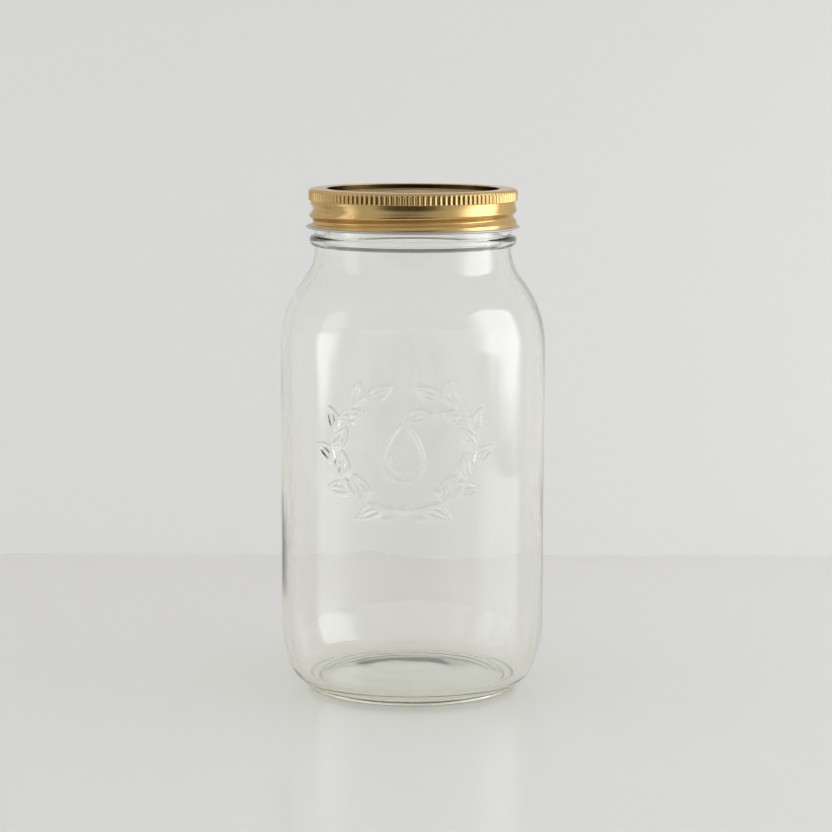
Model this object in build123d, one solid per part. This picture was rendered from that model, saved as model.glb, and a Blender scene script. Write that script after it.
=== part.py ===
from build123d import *
import os
from math import acos, cos, degrees, radians, sin, tan

# A wide-mouth home-canning jar with its two-piece closure, closed and empty.
# Millimetres, +Z up. The origin is the centre of the surface that the jar stands on.

# ---- Glass jar: driving dimensions ----
glass_height = 208.9        # standing surface to the sealing rim
body_radius = 55.3
neck_radius = 40.7
glass_wall = 3.1            # side wall, shoulder and neck
shoulder_z = 144.9          # top of the straight body
shoulder_bend = 43.3        # outside radius of the shoulder's convex arc
neck_bend = 22.4            # outside radius of the concave arc under the neck

# ---- Glass jar: heel, foot and floor ----
heel_top = 29.5             # where the body starts to curve in
heel_flare = 62.0           # radius of the long upper arc of the heel
heel_turn = 9.5             # height at which the tight lower arc takes over
heel_corner = 12.0          # radius of the lower arc
foot_outer = 44.0           # bearing ring
foot_inner = 39.4
foot_edge = 0.8             # rounding of the bearing ring's edges
push_up = 4.4               # rise of the underside at the middle
floor_rise = 3.0            # rise of the inside floor at the middle

# ---- Glass finish: the threaded mouth, 86 mm size with a 450 style thread ----
thread_pitch = 5.08         # five threads to the inch
finish_wall = 41.2          # wall radius between the threads
rim_outer_round = 1.3
rim_inner_round = 1.0
bead_z = 188.6              # transfer bead under the closure
bead_radius = 43.2
bead_height = 4.6
glass_thread_crest = 42.7
glass_thread_round = 1.2    # section radius of the moulded thread
glass_thread_turns = 1.35
glass_thread_lag = 57.0     # degrees that the glass thread stops short of the band's
front_angle = -90.0         # direction that faces the viewer, from +X towards +Y

# ---- Screw band ----
band_top = 210.2            # overall height, closed
band_sheet = 0.3
band_wall = 43.2            # outside radius of the skirt
band_opening = 36.0         # radius of the hole in the flange
band_shoulder = 1.0         # outside radius between flange and skirt
curl_round = 0.85           # section radius of the rolled lower edge
curl_z = 194.3
knurl_count = 124
knurl_crest = 43.5
knurl_top = 209.1
knurl_bottom = 205.3
knurl_chamfer = 0.3
knurl_roundness = 0.36      # section radius of a rib, as a share of its pitch
groove_round = 1.2          # section radius of the rolled thread's groove
groove_depth = 1.35
groove_front_z = 197.7      # groove centre at the front
groove_turns = 1.2
groove_end_angle = 250.0    # upper end of the groove, counted on from the front turn

# ---- Lid disc and its sealing compound ----
running_gap = 0.03          # between band, disc and rim when closed
lid_sheet = 0.25
lid_radius = 42.6
lid_skirt = 1.3             # height of the disc's turned-down edge
panel_radius = 36.4         # step down from the sealing channel to the panel
panel_depth = 1.4
panel_ring = 30.0           # pressed ring that stiffens the panel
panel_ring_depth = 0.4
panel_ring_width = 3.0
button_radius = 10.0
button_rise = 0.5
lid_bend = 0.3              # radius at the disc's pressed corners
lid_edge_bend = 0.975       # where the disc turns down into its skirt
compound_outer = 41.4
compound_inner = 37.2
compound_round = 0.28       # rounding of its lower edges


def revolved(outline):
    """Turn a closed outline, drawn as (radius, height), about the jar's axis."""
    return revolve(make_face(Plane.XZ * outline), Axis.Z)


def wide_arc(centre, radius, start, size):
    """A circular arc as one cubic curve: start and size are in degrees.

    It is for an arc that is larger than its centre's distance from the axis.
    """
    first, last = radians(start), radians(start + size)
    handle = 4 / 3 * tan(radians(size) / 4)
    unit = [(cos(first), sin(first))]
    unit.append((cos(first) - handle * sin(first), sin(first) + handle * cos(first)))
    unit.append((cos(last) + handle * sin(last), sin(last) - handle * cos(last)))
    unit.append((cos(last), sin(last)))
    return Bezier(*[(centre[0] + radius * x, centre[1] + radius * y) for x, y in unit])


def dome(rim_radius, rim_z, rise, outward):
    """A shallow cap centred on the axis, between its top and its rim."""
    ball = (rim_radius**2 + rise**2) / (2 * rise)
    reach = degrees(acos((ball - rise) / ball))
    centre = (0, rim_z + rise - ball)
    if outward:
        return CenterArc(centre, ball, 90, -reach)
    return CenterArc(centre, ball, 90 - reach, reach)


def shoulder_arcs(offset, upward):
    """The shoulder's two tangent arcs, offset inwards from the outside by a wall."""
    sweep_angle = degrees(acos(1 - (body_radius - neck_radius) / (shoulder_bend + neck_bend)))
    neck_z = shoulder_z + (shoulder_bend + neck_bend) * sin(radians(sweep_angle))
    low_centre = (body_radius - shoulder_bend, shoulder_z)
    high_centre = (neck_radius + neck_bend, neck_z)
    low_bend = shoulder_bend - offset
    high_bend = neck_bend + offset
    if upward:
        low_arc = wide_arc(low_centre, low_bend, 0, sweep_angle)
        high_arc = CenterArc(high_centre, high_bend, 180 + sweep_angle, -sweep_angle)
        return [low_arc, high_arc]
    high_arc = CenterArc(high_centre, high_bend, 180, sweep_angle)
    low_arc = wide_arc(low_centre, low_bend, sweep_angle, -sweep_angle)
    return [high_arc, low_arc]


def flare_inset():
    """How far the heel has come in where its two arcs meet."""
    drop = heel_top - heel_turn
    return heel_flare - (heel_flare**2 - drop**2) ** 0.5


def flare_reach():
    """Degrees that the heel's long upper arc turns through."""
    return degrees(acos(1 - flare_inset() / heel_flare))


def heel_centres():
    """Centres of the heel's long upper arc and of its tight lower arc."""
    flare_start = (body_radius - flare_inset(), heel_turn)
    flare_centre = (body_radius - heel_flare, heel_top)
    corner_pull = heel_corner / heel_flare
    corner_centre = (
        flare_start[0] + corner_pull * (flare_centre[0] - flare_start[0]),
        flare_start[1] + corner_pull * (flare_centre[1] - flare_start[1]),
    )
    return flare_centre, corner_centre


def foot_lines():
    """Underside from the axis outwards: the push-up, the bearing ring and the heel."""
    ring_inside = ThreePointArc(
        (foot_inner - foot_edge, foot_edge),
        (foot_inner - 0.3 * foot_edge, 0.3 * foot_edge),
        (foot_inner + 0.3 * foot_edge, 0),
    )
    underside = dome(foot_inner - foot_edge, foot_edge, push_up - foot_edge, True)
    bearing = Line(ring_inside @ 1, (foot_outer - foot_edge, 0))
    ring_outside = CenterArc((foot_outer - foot_edge, foot_edge), foot_edge, -90, 90)
    flare_centre, corner_centre = heel_centres()
    corner_low = -degrees(acos((foot_outer - corner_centre[0]) / heel_corner))
    corner = CenterArc(corner_centre, heel_corner, corner_low, -flare_reach() - corner_low)
    step = Line(ring_outside @ 1, corner @ 0)
    flare = wide_arc(flare_centre, heel_flare, -flare_reach(), flare_reach())
    return [underside, ring_inside, bearing, ring_outside, step, corner, flare]


def finish_lines(neck_z):
    """The mouth from the neck up: bead, threaded wall and rim, and down the bore."""
    bore = neck_radius - glass_wall
    bead_low = (neck_radius, bead_z - bead_height / 2)
    bead_high = (finish_wall, bead_z + bead_height / 2)
    return [
        Line((neck_radius, neck_z), bead_low),
        ThreePointArc(bead_low, (bead_radius, bead_z), bead_high),
        Line(bead_high, (finish_wall, glass_height - rim_outer_round)),
        CenterArc((finish_wall - rim_outer_round, glass_height - rim_outer_round),
                  rim_outer_round, 0, 90),
        Line((finish_wall - rim_outer_round, glass_height), (bore + rim_inner_round, glass_height)),
        CenterArc((bore + rim_inner_round, glass_height - rim_inner_round), rim_inner_round, 90, 90),
        Line((bore, glass_height - rim_inner_round), (bore, neck_z)),
    ]


def inside_lines():
    """The inside: straight wall, the heel's two arcs one wall further in, and the floor."""
    inner = body_radius - glass_wall
    flare_centre, corner_centre = heel_centres()
    bend = heel_corner - glass_wall
    floor_z = corner_centre[1] - bend
    return [
        Line((inner, shoulder_z), (inner, heel_top)),
        wide_arc(flare_centre, heel_flare - glass_wall, 0, -flare_reach()),
        CenterArc(corner_centre, bend, -flare_reach(), flare_reach() - 90),
        dome(corner_centre[0], floor_z, floor_rise, False),
        Line((0, floor_z + floor_rise), (0, push_up)),
    ]


def helix_rod(radius, section, z_at_front, end_angle, turns):
    """A round-ended rod of circular section on a right-hand helix.

    Its centre passes the front at z_at_front; end_angle is where it stops going up.
    """
    start_angle = end_angle - 360 * turns
    start_z = z_at_front + thread_pitch * (start_angle - front_angle) / 360
    path = Rot(0, 0, start_angle) * Pos(0, 0, start_z) * Helix(
        pitch=thread_pitch, height=thread_pitch * turns, radius=radius
    )
    profile = Plane(origin=path @ 0, z_dir=path % 0) * Circle(section)
    rod = sweep(profile, path=path)
    for end in (path @ 0, path @ 1):
        rod += Pos(end) * Sphere(section)
    return rod


def make_glass_jar():
    """The one-piece glass: foot, body, shoulder and threaded mouth."""
    rise = shoulder_arcs(0, True)
    fall = shoulder_arcs(glass_wall, False)
    neck_z = (rise[1] @ 1).Y
    side = Line((body_radius, heel_top), (body_radius, shoulder_z))
    lines = foot_lines() + [side] + rise + finish_lines(neck_z) + fall + inside_lines()
    shell = revolved(Curve() + lines)
    # The jar's thread runs half a pitch above the band's, so the two never share a place.
    thread = helix_rod(
        glass_thread_crest - glass_thread_round,
        glass_thread_round,
        groove_front_z + thread_pitch / 2,
        groove_end_angle - glass_thread_lag,
        glass_thread_turns,
    )
    return shell + thread


def band_skin():
    """The band's sheet: flange, rounded shoulder, straight skirt and outward curl."""
    half = band_sheet / 2
    skirt = band_wall - half
    bend = band_shoulder - half
    curl = curl_round - half
    top = band_top - half
    curl_centre = (skirt + curl, curl_z)
    middle = Curve() + [
        Line((band_opening, top), (skirt - bend, top)),
        CenterArc((skirt - bend, top - bend), bend, 90, -90),
        Line((skirt, top - bend), (skirt, curl_z)),
        CenterArc(curl_centre, curl, 180, 300),
    ]
    return revolve(Plane.XZ * trace(middle, band_sheet), Axis.Z)


def knurl_ring():
    """A ring of ribs on the band's upper edge, chamfered top and bottom."""
    pitch_angle = 360 / knurl_count
    rib_width = 2 * knurl_crest * sin(radians(pitch_angle / 2))
    rib_round = knurl_roundness * rib_width
    rib_height = knurl_top - knurl_bottom
    ring = Circle(band_wall) - Circle(band_wall - band_sheet)
    ribs = PolarLocations(knurl_crest - rib_round, knurl_count) * Circle(rib_round)
    lobes = (Circle(band_wall) + ribs) - Circle(band_wall - band_sheet)
    blank = Pos(0, 0, knurl_bottom) * extrude(lobes, rib_height)
    limit = Pos(0, 0, (knurl_top + knurl_bottom) / 2) * Cylinder(knurl_crest, rib_height)
    limit = chamfer(limit.edges().filter_by(GeomType.CIRCLE), knurl_chamfer)
    sleeve = Pos(0, 0, knurl_bottom) * extrude(ring, rib_height)
    return (blank & limit) + sleeve


def make_screw_band():
    """The threaded band: sheet, knurls and the rolled thread."""
    centre = band_wall + groove_round - groove_depth
    inside = helix_rod(
        centre, groove_round + band_sheet, groove_front_z, groove_end_angle, groove_turns
    )
    outside = helix_rod(centre, groove_round, groove_front_z, groove_end_angle, groove_turns)
    keep = Pos(0, 0, (band_top + curl_z) / 2) * Cylinder(band_wall, band_top - curl_z)
    ridge = inside & keep
    return band_skin() + ridge + knurl_ring() - outside


def make_lid_disc():
    """The flat lid: button, panel with a pressed ring, sealing channel and skirt."""
    top = band_top - band_sheet - running_gap - lid_sheet / 2
    panel = top - panel_depth
    edge = lid_radius - lid_sheet / 2
    middle = FilletPolyline(
        (0, panel + button_rise),
        (button_radius - 2, panel + button_rise),
        (button_radius, panel),
        (panel_ring - panel_ring_width / 2, panel),
        (panel_ring, panel - panel_ring_depth),
        (panel_ring + panel_ring_width / 2, panel),
        (panel_radius, panel),
        (panel_radius, top),
        (edge, top),
        (edge, top - lid_skirt + lid_sheet / 2),
        radius=[lid_bend] * 7 + [lid_edge_bend],
    )
    return revolve(Plane.XZ * trace(middle, lid_sheet), Axis.Z)


def make_sealing_compound():
    """The rubbery ring that lines the lid's channel and presses on the rim."""
    bottom = glass_height + running_gap / 2
    top = band_top - band_sheet - running_gap - lid_sheet
    ring = Circle(compound_outer) - Circle(compound_inner)
    body = Pos(0, 0, bottom) * extrude(ring, top - bottom)
    lower_edges = body.edges().group_by(Axis.Z)[0]
    return fillet(lower_edges, compound_round)


os.makedirs("parts", exist_ok=True)
pieces = {
    "glass_jar": make_glass_jar(),
    "lid_disc": make_lid_disc(),
    "sealing_compound": make_sealing_compound(),
    "screw_band": make_screw_band(),
}
for name, piece in pieces.items():
    export_step(piece, f"parts/{name}.step")
    print(name, "solids", len(piece.solids()), "volume mm3", round(piece.volume, 1))
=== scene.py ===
"""Looks of a wide-mouth canning jar: clear glass, gold two-piece closure and a pale studio."""

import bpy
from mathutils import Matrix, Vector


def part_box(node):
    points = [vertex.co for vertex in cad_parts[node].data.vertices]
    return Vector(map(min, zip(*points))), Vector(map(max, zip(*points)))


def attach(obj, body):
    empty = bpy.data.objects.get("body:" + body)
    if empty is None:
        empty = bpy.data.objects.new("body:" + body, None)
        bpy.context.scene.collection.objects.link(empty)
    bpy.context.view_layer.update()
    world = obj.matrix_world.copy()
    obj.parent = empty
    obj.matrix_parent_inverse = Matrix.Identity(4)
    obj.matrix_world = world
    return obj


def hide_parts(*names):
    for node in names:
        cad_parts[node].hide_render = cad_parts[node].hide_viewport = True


bl_info = {
    "name": "Canning jar looks",
    "version": (1, 0, 0),
    "blender": (4, 5, 0),
    "location": "View3D > Sidebar > Jar",
    "description": "Builds the glass, the lid, its seal, the screw band and the studio",
    "category": "Add Mesh",
}

import math

import bpy
import numpy as np
from mathutils import Euler

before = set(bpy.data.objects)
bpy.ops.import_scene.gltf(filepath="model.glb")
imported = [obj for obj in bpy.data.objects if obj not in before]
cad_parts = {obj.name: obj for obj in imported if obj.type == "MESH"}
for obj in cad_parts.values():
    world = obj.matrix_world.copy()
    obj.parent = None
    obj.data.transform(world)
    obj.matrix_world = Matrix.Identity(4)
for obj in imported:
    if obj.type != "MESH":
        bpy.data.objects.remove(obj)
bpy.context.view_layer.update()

MM = 0.001
TURN = 2 * math.pi
FRONT = -math.pi / 2                # the direction that faces the viewer
THREAD_PITCH = 5.08 * MM            # five threads to the inch

jar_low, jar_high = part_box("glass_jar")
lid_low, lid_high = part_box("lid_disc")
seal_low, seal_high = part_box("sealing_compound")
band_low, band_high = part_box("screw_band")


# ---------------------------------------------------------------- settings

def length(name, description, default):
    """A setting in metres."""
    return bpy.props.FloatProperty(
        name=name, description=description, default=default, unit="LENGTH", precision=5)


def colour(name, description, default):
    """A setting that is a colour."""
    return bpy.props.FloatVectorProperty(
        name=name, description=description, default=default, subtype="COLOR", size=3,
        min=0, max=1)


class JarSettings(bpy.types.PropertyGroup):
    """Sizes and colour of the glass."""

    body_radius: length("Body radius", "Outside radius of the straight body", jar_high.y)
    height: length("Height", "Standing surface to sealing rim", jar_high.z)
    neck_radius: length("Neck radius", "Outside radius of the neck under the bead", 40.7 * MM)
    wall: length("Wall", "Thickness of the side wall", 3.1 * MM)
    shoulder_z: length("Shoulder height", "Top of the straight body", 144.9 * MM)
    waviness: length("Waviness", "Unevenness of the blown inside surface", 0.16 * MM)
    relief: length("Relief", "Height of the raised ornament", 1.0 * MM)
    tint: colour("Tint", "Colour that a thick piece of the glass lets through", (0.72, 0.73, 0.42))
    tint_density: bpy.props.FloatProperty(
        name="Tint density", description="Absorption for each metre of glass",
        default=19.0, min=0)


class ClosureSettings(bpy.types.PropertyGroup):
    """Sizes and finishes of the lid, its seal and the band."""

    knurl_count: bpy.props.IntProperty(
        name="Knurls", description="Ribs around the band's upper edge", default=124, min=12)
    knurl_depth: length("Knurl depth", "Depth of the gaps between the ribs", 0.5 * MM)
    groove_depth: length("Groove depth", "Depth of the rolled thread", 1.55 * MM)
    groove_front_z: length(
        "Groove height", "Height of the groove's middle at the front", 197.7 * MM)
    gold: colour("Gold lacquer", "Colour of the lacquered tinplate", (0.68, 0.455, 0.175))
    tin: colour("Bare tin", "Colour of the unlacquered tinplate", (0.56, 0.57, 0.58))
    seal: colour("Compound", "Colour of the sealing compound", (0.42, 0.30, 0.22))


class StageSettings(bpy.types.PropertyGroup):
    """The floor, the wall, the light and the camera."""

    floor_tone: colour("Floor", "Colour of the floor", (0.725, 0.712, 0.688))
    wall_tone: colour("Wall", "Colour of the backdrop", (0.873, 0.862, 0.843))
    wall_y: length("Wall distance", "Distance of the backdrop behind the jar", 0.284)
    window_glow: bpy.props.FloatProperty(
        name="Window", description="Brightness of the large soft light on the right",
        default=3.15, min=0)
    side_glow: bpy.props.FloatProperty(
        name="Side window", description="Brightness of the dim soft light on the left",
        default=1.4, min=0)
    room_glow: bpy.props.FloatProperty(
        name="Room light", description="Brightness of the light from the whole room",
        default=0.95, min=0)
    room_shade: bpy.props.FloatProperty(
        name="Room shade", description="Brightness in reflections of the room behind the camera",
        default=0.02, min=0, max=1)
    camera_distance: length("Camera distance", "From the jar's axis, level", 1.1)
    camera_height: length("Camera height", "Above the floor", 0.268)
    camera_side: length("Camera side", "To the right of the jar's axis", 1.48 * MM)
    camera_tilt: bpy.props.FloatProperty(
        name="Camera tilt", description="Downwards", default=0.1387, unit="ROTATION")
    camera_roll: bpy.props.FloatProperty(
        name="Camera roll", description="About its own line of sight",
        default=0.003, unit="ROTATION")
    camera_lens: bpy.props.FloatProperty(
        name="Lens", description="Focal length on a 36 mm sensor", default=114.1, unit="CAMERA")


# ---------------------------------------------------------------- outlines

def arc(centre, radius, start, end, steps):
    """Points of a circular arc: centre plus radius times (cos, sin), angles in degrees."""
    angle = np.radians(np.linspace(start, end, steps + 1))
    return np.stack([centre[0] + radius * np.cos(angle), centre[1] + radius * np.sin(angle)], 1)


def straight(start, end, steps):
    """Evenly spaced points of a straight line, ends included."""
    share = np.linspace(0, 1, steps + 1)[:, None]
    return np.asarray(start) * (1 - share) + np.asarray(end) * share


def trail(*runs):
    """Runs of points joined end to end, with the doubled end points left out."""
    points = np.concatenate(runs)
    keep = np.ones(len(points), bool)
    keep[1:] = np.linalg.norm(np.diff(points, axis=0), axis=1) > 1e-7
    return points[keep]


def smooth(value):
    """The smooth step 3x^2 - 2x^3 of a value held between 0 and 1."""
    held = np.clip(value, 0, 1)
    return held * held * (3 - 2 * held)


def hump(value):
    """A raised cosine: 1 at 0, falling smoothly to 0 at -1 and +1, and 0 beyond."""
    return np.where(np.abs(value) < 1, 0.5 + 0.5 * np.cos(math.pi * np.clip(value, -1, 1)), 0)


def closed(marks, loop=0.0):
    """Marks with their first column repeated last, a turn on. Given the length of a closed
    profile, the first row is repeated too, that length on."""
    marks = np.concatenate([marks, marks[:, :1] + [0, TURN, 0]], 1)
    return np.concatenate([marks, marks[:1] + [0, 0, loop]]) if loop else marks


def circuit(profile):
    """Length of a profile that goes back from its last point to its first."""
    return path_lengths(np.concatenate([profile, profile[:1]]))[-1]


def window(value, low, high, fade, high_fade=None):
    """1 between low and high, with a smooth fade to 0 inside each of them."""
    return smooth((value - low) / fade) * smooth((high - value) / (high_fade or fade))


def turn_angles(columns):
    """Evenly spaced angles once round, starting at the back."""
    return -FRONT + np.linspace(0, TURN, columns + 1)[:-1]


def path_lengths(profile):
    """Distance along a profile from its first point to each of its points."""
    steps = np.linalg.norm(np.diff(profile, axis=0), axis=1)
    return np.concatenate([[0], np.cumsum(steps)])


def profile_normals(profile):
    """Unit normals to the right of a profile's direction, so outwards where it goes up."""
    tangent = np.gradient(profile, axis=0)
    tangent /= np.linalg.norm(tangent, axis=1)[:, None]
    return np.stack([tangent[:, 1], -tangent[:, 0]], 1)


def turned(profile, angles, lift=0.0):
    """Surface of revolution: (r cos a, r sin a, z), each point first moved by lift along
    the profile's normal. Rows follow the profile and columns follow the angle."""
    normal = profile_normals(profile)
    radius = profile[:, :1] + normal[:, :1] * lift
    height = profile[:, 1:] + normal[:, 1:] * lift
    radius, height, turn = np.broadcast_arrays(radius, height, angles[None, :])
    return np.stack([radius * np.cos(turn), radius * np.sin(turn), height], 2)


# ---------------------------------------------------------------- meshes

class Skin:
    """Grids of points that become one closed mesh.

    A mark is a point's number with its place on the piece's own map: angle and distance."""

    def __init__(self):
        self.points = []
        self.faces = []
        self.corners = []
        self.count = 0

    def grid(self, points, angles, along):
        """Adds a grid of points, rows along the profile, and returns its marks."""
        rows, columns = points.shape[:2]
        numbers = self.count + np.arange(rows * columns).reshape(rows, columns)
        self.points.append(points.reshape(-1, 3))
        self.count += rows * columns
        return np.dstack([numbers, *np.meshgrid(angles, along)])

    def polygons(self, marks):
        """Adds faces given as (face, corner, mark)."""
        self.faces.append(marks[..., 0].astype(int))
        self.corners.append(marks[..., 1:])

    def cells(self, marks, keep=None):
        """Quads between neighbours; keep can leave some of them out."""
        quads = np.stack([marks[:-1, :-1], marks[:-1, 1:], marks[1:, 1:], marks[1:, :-1]], 2)
        self.polygons(quads.reshape(-1, 4, 3) if keep is None else quads[keep])

    def cap(self, ring, height, upward):
        """Triangles from a closed ring to a point on the axis."""
        tip = 0.5 * (ring[:-1] + ring[1:]) + [0, 0, MM]
        tip[:, 0] = self.count
        self.points.append(np.array([[0, 0, height]]))
        self.count += 1
        sides = [ring[:-1], ring[1:]] if upward else [ring[1:], ring[:-1]]
        self.polygons(np.stack([*sides, tip], 1))

    def join(self, fine, coarse, fine_below):
        """Triangles between a closed ring and one with every second of its points."""
        before, middle, after = fine[0:-1:2], fine[1::2], fine[2::2]
        near, far = coarse[:-1], coarse[1:]
        for corners in ([before, middle, near], [middle, far, near], [middle, after, far]):
            self.polygons(np.stack(corners if fine_below else corners[::-1], 1))

    def refine(self, coarse, fine, low, left, share):
        """Puts a finer grid in place of a block of cells whose lower left mark is given.

        The cells on the block's four sides become polygons that take in the points of the
        fine grid's edge, so the mesh stays closed."""
        tall, wide = (np.array(fine.shape[:2]) - 1) // share
        top, right = low + tall, left + wide
        coarse[low:top + 1, left:right + 1] = fine[::share, ::share]
        keep = np.ones(np.array(coarse.shape[:2]) - 1, bool)
        keep[low - 1:top + 1, left:right] = False
        keep[low:top, left - 1:right + 1] = False
        self.cells(coarse, keep)
        self.cells(fine)
        runs = np.arange(share + 1)
        across = np.arange(wide)[:, None] * share + runs
        upward = np.arange(tall)[:, None] * share + runs
        under, over = coarse[low - 1, left:right + 1], coarse[top + 1, left:right + 1]
        before, after = coarse[low:top + 1, left - 1], coarse[low:top + 1, right + 1]
        sides = (
            (under[:-1], under[1:], fine[0][across][:, ::-1]),
            (over[1:], over[:-1], fine[-1][across]),
            (before[1:], before[:-1], fine[:, 0][upward]),
            (after[:-1], after[1:], fine[:, -1][upward][:, ::-1]),
        )
        for first, second, edge in sides:
            self.polygons(np.concatenate([first[:, None], second[:, None], edge], 1))

    def piece(self, name, materials, slots=None):
        """The finished object: smooth faces, a UV map in (angle, distance), materials."""
        mesh = bpy.data.meshes.new(name)
        sizes = np.concatenate([np.full(len(f), f.shape[1]) for f in self.faces])
        loops = np.concatenate([f.reshape(-1) for f in self.faces])
        used, loops = np.unique(loops, return_inverse=True)
        points = np.concatenate(self.points)[used]
        mesh.vertices.add(len(points))
        mesh.vertices.foreach_set("co", points.astype(np.float32).reshape(-1))
        mesh.loops.add(len(loops))
        mesh.loops.foreach_set("vertex_index", loops.astype(np.int32))
        mesh.polygons.add(len(sizes))
        starts = np.concatenate([[0], np.cumsum(sizes)[:-1]])
        mesh.polygons.foreach_set("loop_start", starts.astype(np.int32))
        mesh.polygons.foreach_set("use_smooth", np.ones(len(sizes), bool))
        for material in materials:
            mesh.materials.append(material)
        if slots is not None:
            mesh.polygons.foreach_set("material_index", slots.astype(np.int32))
        uv = mesh.uv_layers.new(name="surface")
        flat = np.concatenate([c.reshape(-1, 2) for c in self.corners])
        uv.data.foreach_set("uv", flat.astype(np.float32).reshape(-1))
        mesh.update()
        mesh.validate()
        thing = bpy.data.objects.new(name, mesh)
        bpy.context.scene.collection.objects.link(thing)
        return thing


# ---------------------------------------------------------------- thread

def thread_run(angles, heights, front_z, end_angle, turns, fade):
    """Height above a helix's middle line, and its strength, at each (height, angle).

    The line rises by one pitch a turn, passes the front at front_z and stops rising at
    end_angle. Each place takes the nearest turn; strength fades over the last degrees."""
    start_angle = end_angle - TURN * turns
    best = np.full((len(heights), len(angles)), 1.0)
    strength = np.zeros_like(best)
    for lap in (-2, -1, 0, 1, 2):
        turn = angles[None, :] + TURN * lap
        middle = front_z + THREAD_PITCH * (turn - FRONT) / TURN
        offset = heights[:, None] - middle
        reach = smooth((turn - start_angle) / fade) * smooth((end_angle - turn) / fade)
        nearer = (reach > 0) & (np.abs(offset) < np.abs(best))
        best = np.where(nearer, offset, best)
        strength = np.where(nearer, np.broadcast_to(reach, best.shape), strength)
    return best, strength


# ---------------------------------------------------------------- ornament

def mirrored(lines):
    """The lines and their mirror images left to right."""
    return lines + [line * np.array([-1, 1]) for line in lines]


def leaf(root, heading, length, width):
    """A pointed leaf's closed outline and its midrib: width times sin(pi u)^0.8 each side."""
    u = np.linspace(0, 1, 15)
    half = 0.5 * width * np.sin(math.pi * u) ** 0.8 * (1.15 - 0.5 * u)
    side = np.concatenate([half, -half[::-1]])
    run = np.concatenate([u, u[::-1]]) * length
    bow = 0.08 * length * np.sin(math.pi * run / length)
    local = np.stack([run, side + bow], 1)
    rib_u = np.linspace(0, 0.8, 9)
    rib = np.stack([rib_u * length, 0.08 * length * np.sin(math.pi * rib_u)], 1)
    turn = math.radians(heading)
    spin = np.array([[math.cos(turn), math.sin(turn)], [-math.sin(turn), math.cos(turn)]])
    return [local @ spin + root, rib @ spin + root]


def circle(centre, radius):
    """A closed circle as 25 points."""
    return arc(centre, radius, 0, 360, 24)


def ornament_lines():
    """A wreath of two leafy sprigs around a pear, in millimetres about its middle."""
    lines = []
    stem = arc((0, 0), 1.0, -84, 62, 60) * np.array([31.0, 24.5])
    lines.append(stem)
    for number in range(9):
        place = 4 + 6.3 * number
        low = int(place)
        root = stem[low]
        ahead = stem[low + 1] - stem[low]
        heading = math.degrees(math.atan2(ahead[1], ahead[0]))
        lean = -38 if number % 2 == 0 else 40
        lines += leaf(root, heading + lean, 11.5 - 0.25 * number, 5.4)
    lines += leaf(stem[-1], math.degrees(math.atan2(*(stem[-1] - stem[-2])[::-1])), 10, 5.0)
    wreath = mirrored(lines)
    angle = np.linspace(0, TURN, 61)
    pear = np.stack([(7.6 - 3.0 * np.cos(angle)) * np.sin(angle), 11.5 * np.cos(angle)], 1)
    stalk = np.stack([np.linspace(0, 2.6, 8), 11.2 + 5.2 * np.linspace(0, 1, 8) ** 0.8], 1)
    shine = arc((0.4, -3.0), 6.0, 175, 250, 12)
    wreath += [pear + [0, -1.0], stalk + [0, -1.0], shine]
    wreath += leaf(np.array([1.0, 12.2]), 12, 10.5, 5.0)
    return wreath


def ornament_berries():
    """Places and radii of the small domes on the wreath, in millimetres."""
    right = [(27.0, 3.0, 1.7), (14.5, -17.0, 1.7), (24.2, -13.5, 1.5)]
    right += [(22.0, 13.5, 1.6), (7.0, -28.4, 1.5)]
    return np.array(right + [(-x, y, r) for x, y, r in right] + [(0, -24.5, 2.2)])


def ornament_height(across, up):
    """Raised height, from 0 to about 1, at places in millimetres from the middle.

    A line is a raised cosine of the distance to it; a berry is a round dome."""
    distance = np.full(across.shape, 99.0)
    for line in ornament_lines():
        start, step = line[:-1], np.diff(line, axis=0)
        square = np.maximum((step**2).sum(1), 1e-9)
        from_x = across[..., None] - start[:, 0]
        from_y = up[..., None] - start[:, 1]
        share = np.clip((from_x * step[:, 0] + from_y * step[:, 1]) / square, 0, 1)
        gap = np.hypot(from_x - share * step[:, 0], from_y - share * step[:, 1])
        distance = np.minimum(distance, gap.min(-1))
    flat, flank = 0.45, 0.55
    raised = 1 - smooth((distance - flat) / flank)
    for x, y, radius in ornament_berries():
        away = np.hypot(across - x, up - y) / radius
        raised = np.maximum(raised, 1.3 * np.sqrt(np.clip(1 - away**2, 0, 1)))
    return raised


# ---------------------------------------------------------------- jar

ORNAMENT_ANGLE = FRONT - math.radians(3.6)
ORNAMENT_HALF_ANGLE = math.radians(43.5)
ORNAMENT_Z = 108.0 * MM
ORNAMENT_HALF_HEIGHT = 33.5 * MM
ORNAMENT_COLUMNS = 42
ORNAMENT_ROWS = 34
FINER = 6                           # cells across the ornament for each cell elsewhere
FOOT_OUTER = 44.0 * MM              # outside radius of the ring that the jar stands on
UNDERSIDE_Z = 4.4 * MM              # top of the pushed-up underside
FLOOR_Z = 7.47 * MM                 # top of the domed inside floor
PARTING_Z = 181.8 * MM              # low ring where the neck's moulds part
GLASS_THREAD_Z = 200.24 * MM        # middle of the glass thread at the front


def jar_angles():
    """Columns of the jar: even across the ornament and round the back, close at the seams."""
    even = np.linspace(-ORNAMENT_HALF_ANGLE, ORNAMENT_HALF_ANGLE, ORNAMENT_COLUMNS + 1)
    seam = np.radians([-1.2, -0.6, -0.3, 0, 0.3, 0.6, 1.2])
    quarter = math.pi / 2
    step = math.radians(2.4)
    run = np.linspace(ORNAMENT_HALF_ANGLE, quarter - step, 19)[1:]
    half = np.concatenate([run, quarter + seam, np.linspace(quarter + step, math.pi - step, 36)])
    angles = np.concatenate([[-math.pi], -half[::-1], even, half])
    return angles + ORNAMENT_ANGLE


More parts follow.
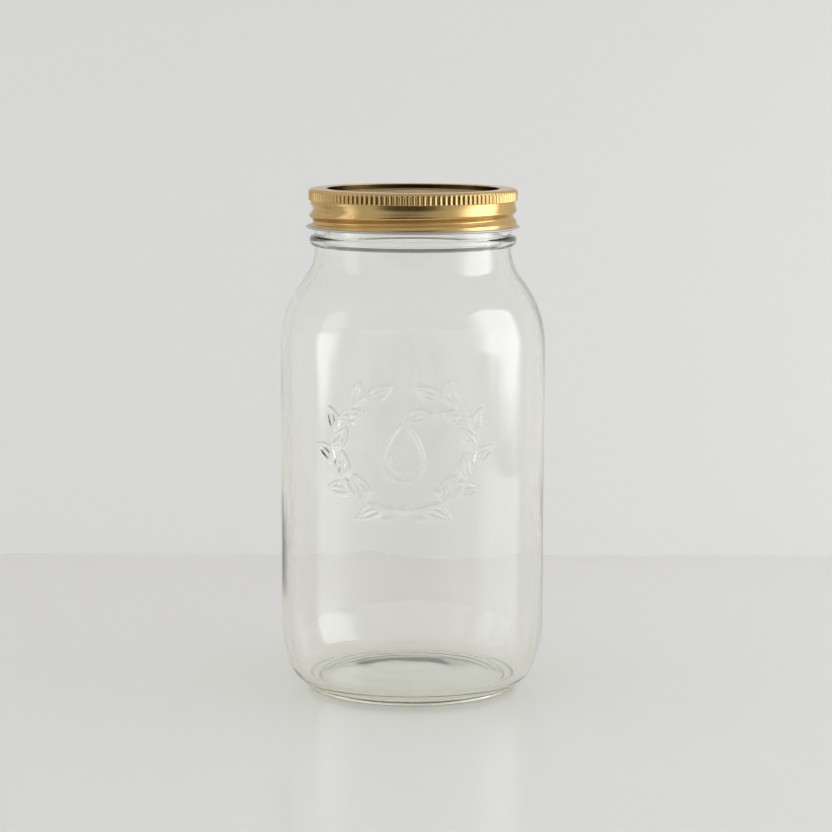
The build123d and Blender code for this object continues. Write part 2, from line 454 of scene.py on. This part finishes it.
def shoulder_arcs(jar, inset, steps):
    """The shoulder's convex and concave arcs, moved inwards by inset, from below."""
    low_bend, high_bend = 43.3 * MM, 22.4 * MM
    body = jar.body_radius
    reach = math.degrees(math.acos(1 - (body - jar.neck_radius) / (low_bend + high_bend)))
    top = jar.shoulder_z + (low_bend + high_bend) * math.sin(math.radians(reach))
    low_centre = (body - low_bend, jar.shoulder_z)
    high_centre = (jar.neck_radius + high_bend, top)
    low = arc(low_centre, low_bend - inset, 0, reach, steps)
    high = arc(high_centre, high_bend + inset, 180 + reach, 180, steps)
    return trail(low, high)


def heel_arcs(jar, inset, steps):
    """The heel's tight lower arc and long upper arc, moved inwards by inset, from below."""
    flare, flare_top, turn_z, bend = 62 * MM, 29.5 * MM, 9.5 * MM, 12 * MM
    reach = math.asin((flare_top - turn_z) / flare)
    centre = np.array([jar.body_radius - flare, flare_top])
    start = centre + flare * np.array([math.cos(reach), -math.sin(reach)])
    middle = start + (centre - start) * bend / flare
    low = -90 if inset else -math.degrees(math.acos((FOOT_OUTER - middle[0]) / bend))
    turn = arc(middle, bend - inset, low, -math.degrees(reach), steps)
    return trail(turn, arc(centre, flare - inset, -math.degrees(reach), 0, steps + 2))


def dome_arc(rim, low, high, steps):
    """A shallow dome from its top on the axis, at high, to its rim at low."""
    rise = high - low
    ball = (rim**2 + rise**2) / (2 * rise)
    reach = math.degrees(math.acos((ball - rise) / ball))
    return arc((0, high - ball), ball, 90, 90 - reach, steps)


def foot_outline():
    """Underside from near the axis: a domed push-up and the bearing ring."""
    inner, edge = 39.4 * MM, 0.8 * MM
    dome = dome_arc(inner - edge, edge, UNDERSIDE_Z, 12)[1:]
    inside = arc((inner - edge, 0), edge, 90, 20, 4)[1:]
    land = straight((inner + 0.35 * edge, 0), (FOOT_OUTER - edge, 0), 3)
    corner = arc((FOOT_OUTER - edge, edge), edge, -90, 0, 5)
    return trail(dome, inside, land, corner)


def finish_outline(jar, neck_top):
    """The mouth's outside: neck, bead, the wall under the thread, and the rim."""
    wall, bead = 41.2 * MM, 43.2 * MM
    bead_z, half = 188.6 * MM, 2.3 * MM
    neck = straight(neck_top, (jar.neck_radius, bead_z - half), 6)
    bulge = bead - 0.5 * (jar.neck_radius + wall)
    share = np.linspace(-1, 1, 13)[:, None]
    base = straight((jar.neck_radius, bead_z - half), (wall, bead_z + half), 12)
    round_bead = base + np.hstack([bulge * np.sqrt(1 - share**2) ** 0.75, 0 * share])
    rim_round, bore_round = 1.3 * MM, 1.0 * MM
    bore = jar.neck_radius - jar.wall
    threads = straight((wall, bead_z + half), (wall, jar.height - rim_round), 44)
    outer = arc((wall - rim_round, jar.height - rim_round), rim_round, 0, 90, 6)
    inner = arc((bore + bore_round, jar.height - bore_round), bore_round, 90, 180, 5)
    return trail(neck, round_bead, threads, outer, inner)


def inside_outline(jar, bore_point):
    """The inside from the bore down over shoulder, wall and heel to the domed floor."""
    neck = shoulder_arcs(jar, jar.wall, 12)[::-1]
    heel = heel_arcs(jar, jar.wall, 12)[::-1]
    wall = straight(neck[-1], heel[0], 30)
    dome = dome_arc(*heel[-1], FLOOR_Z, 18)[:0:-1]
    return trail(straight(bore_point, neck[0], 8), neck, wall, heel, dome)


def outer_lift(jar, profile, angles):
    """How far the outside stands off its turned shape: seams, parting ring and thread."""
    height = profile[:, 1]
    away = np.mod(angles - ORNAMENT_ANGLE + math.pi, TURN) - math.pi
    lift = np.zeros((len(height), len(angles)))
    side = np.abs(np.abs(away) - math.pi / 2)
    below_finish = window(height, 3 * MM, 186 * MM, 2 * MM)
    lift += 0.09 * MM * np.exp(-((side / math.radians(0.3)) ** 2)) * below_finish[:, None]
    ring = np.exp(-(((height - PARTING_Z) / (0.35 * MM)) ** 2))
    lift += 0.14 * MM * ring[:, None]
    offset, strength = thread_run(
        angles, height, GLASS_THREAD_Z, math.radians(193), 1.35, math.radians(25))
    on_wall = window(height, 190.6 * MM, jar.height - 1.4 * MM, 0.8 * MM)
    lift += 1.5 * MM * hump(offset / (1.5 * MM)) * strength * on_wall[:, None]
    return lift


def ornament_lift(jar, profile, angles):
    """Height of the raised ornament at each (height, angle) of the straight body."""
    across = (angles - ORNAMENT_ANGLE) * jar.body_radius / MM
    up = (profile[:, 1] - ORNAMENT_Z) / MM
    return jar.relief * ornament_height(*np.meshgrid(across, up))


def waves(heights, angles, amount):
    """Slow unevenness of blown glass: a sum of a few sines of angle and height."""
    z = heights[:, None] / MM
    a = angles[None, :]
    total = np.sin(2 * a + z / 31 + 0.4) + 0.8 * np.sin(3 * a - z / 23 + 2.1)
    total += 0.6 * np.sin(5 * a + z / 14 + 1.2) + 0.45 * np.sin(z / 9.5 - 4 * a)
    total += 0.3 * np.sin(9 * a + z / 11 + 0.7)
    return amount * total / 2


def swirl(profile, angles, amount):
    """Pressed unevenness of the floor: a sine of the radius that drifts with the angle,
    flat at the middle and gone above the heel."""
    radius = profile[:, :1] / MM
    a = angles[None, :]
    reach = smooth(radius / 14) * (1 - smooth((profile[:, 1:] / MM - 7.5) / 5))
    drift = 1.6 * np.sin(a + 0.5) + 0.9 * np.sin(2 * a - 1.1)
    total = np.sin(radius / 2.9 + drift) + 0.5 * np.sin(radius / 1.9 - 2 * drift + 3 * a)
    return amount * reach * total


class JAR_OT_build_glass(bpy.types.Operator):
    """Builds the clear glass jar with its ornament, seams, bead and thread"""

    bl_idname = "jar.build_glass"
    bl_label = "Glass jar"

    def execute(self, context):
        jar = context.scene.jar_glass
        angles = jar_angles()
        foot = foot_outline()
        heel = heel_arcs(jar, 0, 10)
        step = straight(foot[-1], heel[0], 2)
        shoulder = shoulder_arcs(jar, 0, 14)
        low = straight(heel[-1], (jar.body_radius, ORNAMENT_Z - ORNAMENT_HALF_HEIGHT), 6)
        plain_top = (jar.body_radius, ORNAMENT_Z + ORNAMENT_HALF_HEIGHT)
        plain = straight(low[-1], plain_top, ORNAMENT_ROWS)
        high = straight(plain[-1], shoulder[0], 3)
        before = trail(foot, step, heel, low)
        profile = trail(before, plain, high, shoulder, finish_outline(jar, shoulder[-1]))
        inside = inside_outline(jar, profile[-1])[1:]
        along = path_lengths(np.concatenate([profile, inside]))
        count = len(profile)
        skin = Skin()
        outer_points = turned(profile, angles, outer_lift(jar, profile, angles))
        outer = closed(skin.grid(outer_points, angles, along[:count]))
        left = int(np.argmin(np.abs(angles - (ORNAMENT_ANGLE - ORNAMENT_HALF_ANGLE))))
        bottom = len(before) - 1
        rows, columns = ORNAMENT_ROWS * FINER, ORNAMENT_COLUMNS * FINER
        fine_angles = np.linspace(angles[left], angles[left + ORNAMENT_COLUMNS], columns + 1)
        fine_along = np.linspace(along[bottom], along[bottom + ORNAMENT_ROWS], rows + 1)
        fine = straight(plain[0], plain[-1], rows)
        fine_points = turned(fine, fine_angles, ornament_lift(jar, fine, fine_angles))
        ornament = skin.grid(fine_points, fine_angles, fine_along)
        skin.refine(outer, ornament, bottom, left, FINER)
        coarse = angles[0::2]
        calm = window(inside[:, 1], 10 * MM, 195 * MM, 30 * MM, 40 * MM)
        ripple = waves(inside[:, 1], coarse, jar.waviness) * calm[:, None]
        ripple += swirl(inside, coarse, 0.3 * jar.waviness)
        inner = closed(skin.grid(turned(inside, coarse, ripple), coarse, along[count:]))
        skin.cells(inner)
        skin.join(outer[-1], inner[0], True)
        skin.cap(outer[0], UNDERSIDE_Z, False)
        skin.cap(inner[-1], FLOOR_Z, True)
        piece = skin.piece("clear_jar", [clear_glass(jar)])
        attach(piece, "jar")
        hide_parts("glass_jar")
        return {"FINISHED"}


# ---------------------------------------------------------------- lid and seal

LID_SHEET = 0.25 * MM
PANEL_RADIUS = 36.4 * MM            # step down from the sealing channel


def lid_height(radius, panel):
    """Middle of the panel's sheet at each radius: centre button and pressed ring."""
    button = 0.5 * MM * (1 - smooth((radius - 8 * MM) / (2 * MM)))
    return panel + button - 0.4 * MM * hump((radius - 30 * MM) / (1.6 * MM))


def lid_outline():
    """Middle line of the lid's sheet from near the axis to the foot of its skirt."""
    depth, corner, bend, step = 1.4 * MM, 0.26 * MM, 0.975 * MM, PANEL_RADIUS
    edge = lid_high.x - LID_SHEET / 2
    top = lid_high.z - LID_SHEET / 2
    panel = top - depth
    radius = np.concatenate([
        np.linspace(1, 7.8, 8), np.linspace(8, 10, 7), np.linspace(11, 28, 14),
        np.linspace(28.4, 31.6, 13), np.linspace(32.5, 35.8, 5),
    ]) * MM
    dish = np.stack([radius, lid_height(radius, panel)], 1)
    foot = arc((step - corner, panel + corner), corner, -90, 0, 4)
    shoulder = arc((step + corner, top - corner), corner, 180, 90, 4)
    turn = arc((edge - bend, top - bend), bend, 90, 0, 8)
    skirt = straight(turn[-1], (edge, lid_high.z - 1.42 * MM), 2)
    channel = straight(shoulder[-1], turn[0], 5)
    return trail(dish, foot, straight(foot[-1], shoulder[0], 2), shoulder, channel, turn, skirt)


class JAR_OT_build_lid(bpy.types.Operator):
    """Builds the flat pressed lid and the compound lined into its channel"""

    bl_idname = "jar.build_lid"
    bl_label = "Lid and seal"

    def execute(self, context):
        closure = context.scene.jar_closure
        middle = lid_outline()
        normal = profile_normals(middle)
        under = middle + LID_SHEET / 2 * normal
        over = (middle - LID_SHEET / 2 * normal)[::-1]
        profile = np.concatenate([under, over])
        angles = turn_angles(240)
        along = path_lengths(profile)
        skin = Skin()
        marks = closed(skin.grid(turned(profile, angles), angles, along))
        skin.cells(marks)
        skin.cap(marks[0], under[0, 1], False)
        skin.cap(marks[-1], over[-1, 1], True)
        finish = np.where(np.arange(len(profile) - 1) < len(under), 1, 0)
        # Slot 2 is the steep wall of the step down to the panel, which gets painted shade for the
        # recess under the band's flange.
        painted_shade_wall = np.abs(profile[:-1, 0] - PANEL_RADIUS) < 0.3 * MM
        finish = np.where((finish == 0) & painted_shade_wall, 2, finish)
        caps = np.repeat([1, 0], len(angles))
        slots = np.concatenate([np.repeat(finish, len(angles)), caps])
        lacquer, tin = gold_lacquer(closure, "lid", 0.8, 0.05), bare_tin(closure)
        # Painted shade: the step's wall gets the gold at a tenth of its brightness, for the shade
        # in the recess under the band's flange.
        painted_shade_step = gold_lacquer(closure, "step", 0.1, 0.04)
        piece = skin.piece("pressed_lid", [lacquer, tin, painted_shade_step], slots)
        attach(piece, "lid")
        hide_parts("lid_disc")
        self.build_seal(closure)
        return {"FINISHED"}

    def build_seal(self, closure):
        """A low ring with rounded lower edges, as a closed loop carried round the axis."""
        inner, outer = 37.2 * MM, seal_high.x
        low, high = seal_low.z, seal_high.z
        bend = 0.3 * MM
        loop = trail(
            straight((inner, high), (inner, low + bend), 2),
            arc((inner + bend, low + bend), bend, 180, 270, 5),
            straight((inner + bend, low), (outer - bend, low), 6),
            arc((outer - bend, low + bend), bend, -90, 0, 5),
            straight((outer, low + bend), (outer, high), 2),
            straight((outer, high), (inner, high), 6)[:-1],
        )
        angles = turn_angles(180)
        skin = Skin()
        marks = skin.grid(turned(loop, angles), angles, path_lengths(loop))
        skin.cells(closed(marks, circuit(loop)))
        piece = skin.piece("lined_seal", [soft_compound(closure)])
        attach(piece, "lid")
        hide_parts("sealing_compound")


# ---------------------------------------------------------------- band

KNURL_LOW = 205.3 * MM              # foot and top of the knurls
KNURL_HIGH = 209.5 * MM
SKIRT_RADIUS = 43.2 * MM            # outside of the band's straight wall


def band_outline():
    """Closed outline of the band's sheet, from the flange's underside round the curl and
    back up the outside. Returns the points and how many belong to the bare inside."""
    sheet = 0.3 * MM
    skirt = SKIRT_RADIUS
    opening = 36.0 * MM
    top = band_high.z
    bend = 1.0 * MM
    curl = 0.85 * MM
    curl_z = band_low.z + curl
    inner = skirt - sheet
    inside = trail(
        straight((opening + 0.05 * MM, top - sheet), (skirt - bend, top - sheet), 3),
        arc((skirt - bend, top - bend), bend - sheet, 90, 0, 5),
        straight((inner, top - bend), (inner, curl_z), 26),
        arc((inner + curl, 0), curl, 180, 475, 20) * [1, 0.62] + [0, curl_z],
    )
    join = inside[-1]
    outside = trail(
        straight((skirt, join[1] + 0.1 * MM), (skirt, KNURL_LOW - 0.1 * MM), 40),
        straight((skirt, KNURL_LOW - 0.1 * MM), (skirt, KNURL_LOW + 0.3 * MM), 8),
        straight((skirt, KNURL_LOW + 0.3 * MM), (skirt, top - bend), 11),
        arc((skirt - bend, top - bend), bend, 0, 90, 9),
        straight((skirt - bend, top), (opening + 0.15 * MM, top), 5),
        arc((opening + 0.15 * MM, top - 0.15 * MM), 0.15 * MM, 90, 180, 3),
    )
    return np.concatenate([inside, outside]), len(inside)


def band_shape(closure, profile, bare, angles):
    """Radius change of the band's sheet at each (row, column).

    The thread is a raised-cosine valley along a helix with a low swell on each side, and
    acts on both faces; the knurls are narrow valleys, one each pitch, on the outside."""
    height = profile[:, 1]
    count = len(height)
    offset, strength = thread_run(
        angles, height, closure.groove_front_z, math.radians(236), 1.225, math.radians(24))
    slope = 1 - (np.hypot(offset, 0.3 * MM) - 0.3 * MM) / (2.15 * MM)
    valley = np.where(slope < 0.3, np.clip(slope, 0, 1) ** 2 / 0.6, slope - 0.15) / 0.85
    swell = hump((offset - 2.55 * MM) / (1.2 * MM))
    from_skirt = profile[:, 0] - SKIRT_RADIUS
    skirt = (from_skirt > -0.4 * MM) & (from_skirt < 0.05 * MM)
    on_skirt = skirt * window(
        height, band_low.z + 1.3 * MM, band_high.z - 5.6 * MM, 1.1 * MM, 1.2 * MM)
    change = (-closure.groove_depth * valley + 0.14 * MM * swell) * strength * on_skirt[:, None]
    waist = window(height, 200.6 * MM, KNURL_LOW + 0.2 * MM, 3.4 * MM, 0.2 * MM)
    waist *= np.where(np.arange(count) >= bare, 0.5 * MM, 0.25 * MM) * skirt
    change -= waist[:, None]
    turn = np.mod(angles * closure.knurl_count / TURN, 1.0) - 0.5
    rib = 1 - hump(turn / 0.38)
    ribbed = window(height, KNURL_LOW, KNURL_HIGH, 0.3 * MM, 0.5 * MM)
    outside = (np.arange(count) >= bare) & (from_skirt > -0.7 * MM)
    crest = window(height, KNURL_LOW, KNURL_HIGH + 0.5 * MM, 0.2 * MM, 0.9 * MM)
    change += (0.3 * MM * crest * outside)[:, None]
    change -= closure.knurl_depth * (1 - rib)[None, :] * (ribbed * outside)[:, None]
    return change


class JAR_OT_build_band(bpy.types.Operator):
    """Builds the knurled and threaded screw band"""

    bl_idname = "jar.build_band"
    bl_label = "Screw band"

    def execute(self, context):
        closure = context.scene.jar_closure
        profile, bare = band_outline()
        columns = closure.knurl_count * 6
        angles = turn_angles(columns)
        change = band_shape(closure, profile, bare, angles)
        radius = profile[:, :1] + change
        height = np.broadcast_to(profile[:, 1:], radius.shape)
        turn = np.broadcast_to(angles[None, :], radius.shape)
        points = np.stack([radius * np.cos(turn), radius * np.sin(turn), height], 2)
        skin = Skin()
        marks = skin.grid(points, angles, path_lengths(profile))
        skin.cells(closed(marks, circuit(profile)))
        slots = np.repeat(np.arange(len(profile)) < bare - 1, columns)
        lacquer = gold_lacquer(closure, "band", 1.0, 0.5, streaked=True)
        piece = skin.piece("gold_band", [lacquer, bare_tin(closure)], slots)
        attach(piece, "band")
        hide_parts("screw_band")
        return {"FINISHED"}


# ---------------------------------------------------------------- finishes

RAMP_SOCKETS = ("From Min", "From Max", "To Min", "To Max")


class Wiring:
    """Short hand for the nodes and links of a material, or of a world."""

    def __init__(self, name, world=False):
        self.owner = (bpy.data.worlds if world else bpy.data.materials).new(name)
        self.owner.use_nodes = True
        self.tree = self.owner.node_tree
        self.shader = self.tree.nodes["Background" if world else "Principled BSDF"]
        self.output = self.tree.nodes["World Output" if world else "Material Output"]

    def node(self, kind, **settings):
        made = self.tree.nodes.new(kind)
        for key, value in settings.items():
            setattr(made, key, value)
        return made

    def link(self, source, target):
        self.tree.links.new(source, target)

    def set(self, **values):
        """Constants on the shader's own sockets, with _ for a space in a socket's name."""
        for name, value in values.items():
            self.shader.inputs[name.replace("_", " ")].default_value = value

    def place(self):
        """Object coordinates."""
        return self.node("ShaderNodeTexCoord").outputs["Object"]

    def uv(self, scale):
        """The piece's own map, (angle, distance along the profile), stretched by scale."""
        source = self.node("ShaderNodeUVMap", uv_map="surface")
        mapping = self.node("ShaderNodeMapping")
        mapping.inputs["Scale"].default_value = scale
        self.link(source.outputs["UV"], mapping.inputs["Vector"])
        return mapping.outputs["Vector"]

    def noise(self, vector, scale, detail=3.0):
        made = self.node("ShaderNodeTexNoise")
        made.inputs["Scale"].default_value = scale
        made.inputs["Detail"].default_value = detail
        made.inputs["Roughness"].default_value = 0.55
        self.link(vector, made.inputs["Vector"])
        return made.outputs["Fac"]

    def ramp(self, value, low, high, to_low, to_high, curve="LINEAR"):
        """The value's range from low to high spread over to_low to to_high."""
        made = self.node("ShaderNodeMapRange", interpolation_type=curve)
        for name, number in zip(RAMP_SOCKETS, (low, high, to_low, to_high)):
            made.inputs[name].default_value = number
        self.link(value, made.inputs["Value"])
        return made.outputs["Result"]

    def math(self, operation, *values):
        """Two or three values put together, each a number or the source of a link."""
        made = self.node("ShaderNodeMath", operation=operation)
        for socket, value in zip(made.inputs, values):
            if isinstance(value, float):
                socket.default_value = value
            else:
                self.link(value, socket)
        return made.outputs["Value"]

    def blend(self, value, first, second):
        """Base colour that goes from the first to the second as the value goes from 0 to 1."""
        tone = self.node("ShaderNodeMixRGB")
        tone.inputs["Color1"].default_value = (*first, 1)
        tone.inputs["Color2"].default_value = (*second, 1)
        self.link(value, tone.inputs["Fac"])
        self.link(tone.outputs["Color"], self.shader.inputs["Base Color"])

    def bump(self, value, strength, distance):
        made = self.node("ShaderNodeBump")
        made.inputs["Strength"].default_value = strength
        made.inputs["Distance"].default_value = distance
        self.link(value, made.inputs["Height"])
        self.link(made.outputs["Normal"], self.shader.inputs["Normal"])

    def show(self, share, first, second):
        """Shows the first shader, with the share that the second one takes from it."""
        mix = self.node("ShaderNodeMixShader")
        self.link(share, mix.inputs["Fac"])
        self.link(first, mix.inputs[1])
        self.link(second, mix.inputs[2])
        self.link(mix.outputs["Shader"], self.output.inputs["Surface"])


def clear_glass(jar):
    """Soda-lime glass: sharp, nearly colourless, green only through its thick parts.

    Shadow rays and diffuse rays go straight through it with a small loss."""
    wiring = Wiring("clear_soda_glass")
    wiring.set(Base_Color=(1, 1, 1, 1), Roughness=0.0, IOR=1.5, Transmission_Weight=1.0)
    inside = wiring.node("ShaderNodeVolumeAbsorption")
    inside.inputs["Color"].default_value = (*jar.tint, 1)
    inside.inputs["Density"].default_value = jar.tint_density
    wiring.link(inside.outputs["Volume"], wiring.output.inputs["Volume"])
    wiring.bump(wiring.noise(wiring.place(), 38.0, 2.0), 0.12, 0.0004)
    rays = wiring.node("ShaderNodeLightPath").outputs
    share = wiring.math("MAXIMUM", rays["Is Shadow Ray"], rays["Is Diffuse Ray"])
    clear = wiring.node("ShaderNodeBsdfTransparent")
    clear.inputs["Color"].default_value = (0.965, 0.97, 0.96, 1)
    wiring.show(share, wiring.shader.outputs["BSDF"], clear.outputs["BSDF"])
    return wiring.owner


def gold_lacquer(closure, name, depth, coat, streaked=False):
    """Satin gold lacquer over rolled tinplate: fine lines along the turn, faint clouds.

    A depth below 1 darkens the gold; at 0.1 on the lid's step it is painted shade. Streaked clouds
    follow the turn."""
    wiring = Wiring(f"gold_lacquer_{name}")
    brushed = wiring.noise(wiring.uv((0.6, 2600.0, 1.0)), 1.0, 4.0)
    if streaked:
        cloudy = wiring.noise(wiring.uv((2.2, 90.0, 1.0)), 1.0)
    else:
        cloudy = wiring.noise(wiring.place(), 70.0, 2.0)
    pale = [channel * depth for channel in closure.gold]
    deep = [channel * 0.86 for channel in pale]
    wiring.blend(wiring.ramp(cloudy, 0.35, 0.7, 0, 1), pale, deep)
    wiring.link(wiring.ramp(cloudy, 0.3, 0.7, 0.2, 0.28), wiring.shader.inputs["Roughness"])
    edge = (0.78 * depth, 0.66 * depth, 0.46 * depth, 1)
    wiring.set(Metallic=1.0, Coat_Weight=coat, Coat_Roughness=0.1, Specular_Tint=edge)
    wiring.bump(brushed, 0.18, 0.00005)
    return wiring.owner


def bare_tin(closure):
    """Unlacquered tinplate: grey, a little cloudy."""
    wiring = Wiring("bare_tinplate")
    wiring.set(Metallic=1.0, Base_Color=(*closure.tin, 1))
    cloudy = wiring.noise(wiring.uv((3.0, 900.0, 1.0)), 1.0)
    wiring.link(wiring.ramp(cloudy, 0.3, 0.7, 0.4, 0.5), wiring.shader.inputs["Roughness"])
    wiring.bump(cloudy, 0.15, 0.00005)
    return wiring.owner


def soft_compound(closure):
    """Matt rubbery lining with a slight mottle."""
    wiring = Wiring("soft_compound")
    mottle = wiring.noise(wiring.place(), 900.0)
    wiring.blend(mottle, closure.seal, [c * 0.8 for c in closure.seal])
    wiring.set(Roughness=0.55)
    wiring.bump(mottle, 0.2, 0.0001)
    return wiring.owner


def floor_finish(stage):
    """Plain pale honed floor with a soft sheen."""
    wiring = Wiring("pale_floor")
    shade = wiring.noise(wiring.place(), 1.6)
    wiring.blend(shade, stage.floor_tone, [c * 0.97 for c in stage.floor_tone])
    wiring.set(Roughness=0.16, Specular_IOR_Level=0.4)
    return wiring.owner


def wall_finish(stage):
    """Matt pale backdrop with painted shade that makes it a little darker higher up, seen only
    from the jar's side.
    """
    wiring = Wiring("pale_backdrop")
    split = wiring.node("ShaderNodeSeparateXYZ")
    wiring.link(wiring.place(), split.inputs["Vector"])
    # Painted shade: the colour darkens to 0.85 of the wall tone over the lowest 0.3 m and stays
    # there above.
    rise = wiring.ramp(split.outputs["Z"], 0.0, 0.3, 0, 1)
    wiring.blend(rise, stage.wall_tone, [c * 0.85 for c in stage.wall_tone])
    wiring.set(Roughness=0.9, Specular_IOR_Level=0.1)
    behind = wiring.node("ShaderNodeNewGeometry").outputs["Backfacing"]
    clear = wiring.node("ShaderNodeBsdfTransparent")
    wiring.show(behind, wiring.shader.outputs["BSDF"], clear.outputs["BSDF"])
    return wiring.owner


# ---------------------------------------------------------------- studio

WINDOW_REACH = 1.3
WINDOW_LOW = -0.2
WINDOW_HIGH = 1.15


def flat_stage(name, corners, material):
    """One flat quad of the stage."""
    mesh = bpy.data.meshes.new(name)
    mesh.from_pydata(corners, [], [(0, 1, 2, 3)])
    mesh.materials.append(material)
    thing = bpy.data.objects.new(name, mesh)
    bpy.context.scene.collection.objects.link(thing)
    return thing


def room_light(stage):
    """Even light from all round. In reflections the room is dimmer, and darkest in front."""
    wiring = Wiring("room", world=True)
    bpy.context.scene.world = wiring.owner
    bearing = math.radians(-4)
    ahead = (math.sin(bearing), -math.cos(bearing), 0.0)
    source = wiring.node("ShaderNodeTexCoord").outputs["Generated"]
    steps = (("MULTIPLY", (1, 1, 1.8)), ("NORMALIZE", None), ("DOT_PRODUCT", ahead))
    for operation, other in steps:
        facing = wiring.node("ShaderNodeVectorMath", operation=operation)
        wiring.link(source, facing.inputs[0])
        if other:
            facing.inputs[1].default_value = other
        source = facing.outputs["Value" if operation == "DOT_PRODUCT" else "Vector"]
    shade = wiring.ramp(source, 0.72, 0.93, 0.64, stage.room_shade, "SMOOTHSTEP")
    rays = wiring.node("ShaderNodeLightPath").outputs
    mirrored_ray = wiring.math(
        "MULTIPLY_ADD", rays["Is Transmission Ray"], -1.0, rays["Is Glossy Ray"])
    seen = wiring.node("ShaderNodeMix")
    wiring.link(mirrored_ray, seen.inputs["Factor"])
    seen.inputs["A"].default_value = 1.0
    wiring.link(shade, seen.inputs["B"])
    glow = wiring.math("MULTIPLY", seen.outputs["Result"], stage.room_glow)
    wiring.link(glow, wiring.shader.inputs["Strength"])
    wiring.set(Color=(0.98, 0.99, 1.0, 1))


def window_finish(name, brightness):
    """Glow that fades to nothing near the card's edges and is weaker in its nearer part.

    The card's map runs from -1 to 1, across from its nearer edge and up from its foot."""
    wiring = Wiring(name)
    split = wiring.node("ShaderNodeSeparateXYZ")
    place = wiring.node("ShaderNodeUVMap", uv_map="surface")
    wiring.link(place.outputs["UV"], split.inputs["Vector"])
    across, up = split.outputs["X"], split.outputs["Y"]
    near = wiring.math("SUBTRACT", across, wiring.ramp(up, -0.5, -0.9, 0, 0.65))
    top = wiring.math("ADD", up, wiring.ramp(across, 0.1, 0.9, 0, 0.5))
    fades = ((near, -1.0, -0.2, 0, 1), (across, 0.58, 0.92, 1, 0), (up, -1.0, -0.75, 0, 1),
             (top, 0.8, 1.0, 1, 0), (near, -0.5, 0.05, 0.35, 1))
    glow = 1.0
    for fade in fades:
        glow = wiring.math("MULTIPLY", glow, wiring.ramp(*fade, "SMOOTHSTEP"))
    light = wiring.node("ShaderNodeEmission")
    light.inputs["Color"].default_value = (0.95, 0.98, 1.0, 1)
    wiring.link(wiring.math("MULTIPLY", glow, brightness), light.inputs["Strength"])
    clear = wiring.node("ShaderNodeBsdfTransparent")
    wiring.show(glow, clear.outputs["BSDF"], light.outputs["Emission"])
    return wiring.owner


def window_card(name, bearing, width, brightness):
    """An upright soft card that lights the jar as a window does.

    The bearing is in degrees from the camera's side, and the card's far edge is the one
    away from the camera."""
    turn = math.radians(bearing)
    out = np.array([math.sin(turn), -math.cos(turn)])
    across = np.array([-out[1], out[0]]) * math.copysign(width / 2, bearing)
    middle = out * WINDOW_REACH
    near, far = middle - across, middle + across
    low, high = WINDOW_LOW, WINDOW_HIGH
    corners = [(*near, low), (*far, low), (*far, high), (*near, high)]
    card = flat_stage(name, corners, window_finish(name, brightness))
    uv = card.data.uv_layers.new(name="surface")
    uv.data.foreach_set("uv", np.array([-1, -1, 1, -1, 1, 1, -1, 1], np.float32))


def place_camera(stage):
    """The camera, level with the room but tilted down, with a slight roll."""
    data = bpy.data.cameras.new("view")
    data.sensor_width = 36
    data.lens = stage.camera_lens
    data.clip_start = 0.05
    camera = bpy.data.objects.new("view", data)
    camera.location = (stage.camera_side, -stage.camera_distance, stage.camera_height)
    tilt = Euler((math.pi / 2 - stage.camera_tilt, 0, 0)).to_matrix()
    roll = Euler((0, 0, stage.camera_roll)).to_matrix()
    camera.rotation_euler = (tilt @ roll).to_euler()
    bpy.context.scene.collection.objects.link(camera)
    bpy.context.scene.camera = camera


class JAR_OT_build_stage(bpy.types.Operator):
    """Builds the floor, the backdrop, the lights and the camera"""

    bl_idname = "jar.build_stage"
    bl_label = "Stage"

    def execute(self, context):
        scene = context.scene
        stage = scene.jar_stage
        side, near, far, tall = 0.62, -0.75, 0.8, 1.6
        floor = [(-side, near, 0), (side, near, 0), (side, far, 0), (-side, far, 0)]
        flat_stage("floor", floor, floor_finish(stage))
        depth = stage.wall_y
        wall = [(-side, depth, 0), (side, depth, 0), (side, depth, tall), (-side, depth, tall)]
        flat_stage("backdrop", wall, wall_finish(stage))
        room_light(stage)
        window_card("window", 72, 2.5, stage.window_glow)
        window_card("side_window", -72, 1.2, stage.side_glow)
        place_camera(stage)
        scene.view_settings.view_transform = "Standard"
        scene.cycles.use_denoising = True
        scene.cycles.max_bounces = 16
        scene.cycles.transmission_bounces = 16
        scene.cycles.glossy_bounces = 6
        return {"FINISHED"}


# ---------------------------------------------------------------- panel

class JAR_PT_looks(bpy.types.Panel):
    """Lists the jar's pieces and their settings"""

    bl_idname = "JAR_PT_looks"
    bl_label = "Canning jar"
    bl_space_type = "VIEW_3D"
    bl_region_type = "UI"
    bl_category = "Jar"

    def draw(self, context):
        layout = self.layout
        for settings, _, builders in GROUPS:
            box = layout.box()
            values = getattr(context.scene, settings)
            for name in values.__annotations__:
                box.prop(values, name)
            for builder in builders:
                box.operator(builder.bl_idname)


GROUPS = (
    ("jar_glass", JarSettings, (JAR_OT_build_glass,)),
    ("jar_closure", ClosureSettings, (JAR_OT_build_lid, JAR_OT_build_band)),
    ("jar_stage", StageSettings, (JAR_OT_build_stage,)),
)


def register():
    for settings, group, builders in GROUPS:
        for item in (group, *builders):
            bpy.utils.register_class(item)
        setattr(bpy.types.Scene, settings, bpy.props.PointerProperty(type=group))
    bpy.utils.register_class(JAR_PT_looks)


def unregister():
    bpy.utils.unregister_class(JAR_PT_looks)
    for settings, group, builders in reversed(GROUPS):
        delattr(bpy.types.Scene, settings)
        for item in (*builders, group):
            bpy.utils.unregister_class(item)


def main():
    register()
    bpy.ops.jar.build_glass()
    bpy.ops.jar.build_lid()
    bpy.ops.jar.build_band()
    bpy.ops.jar.build_stage()


if __name__ == "__main__":
    main()
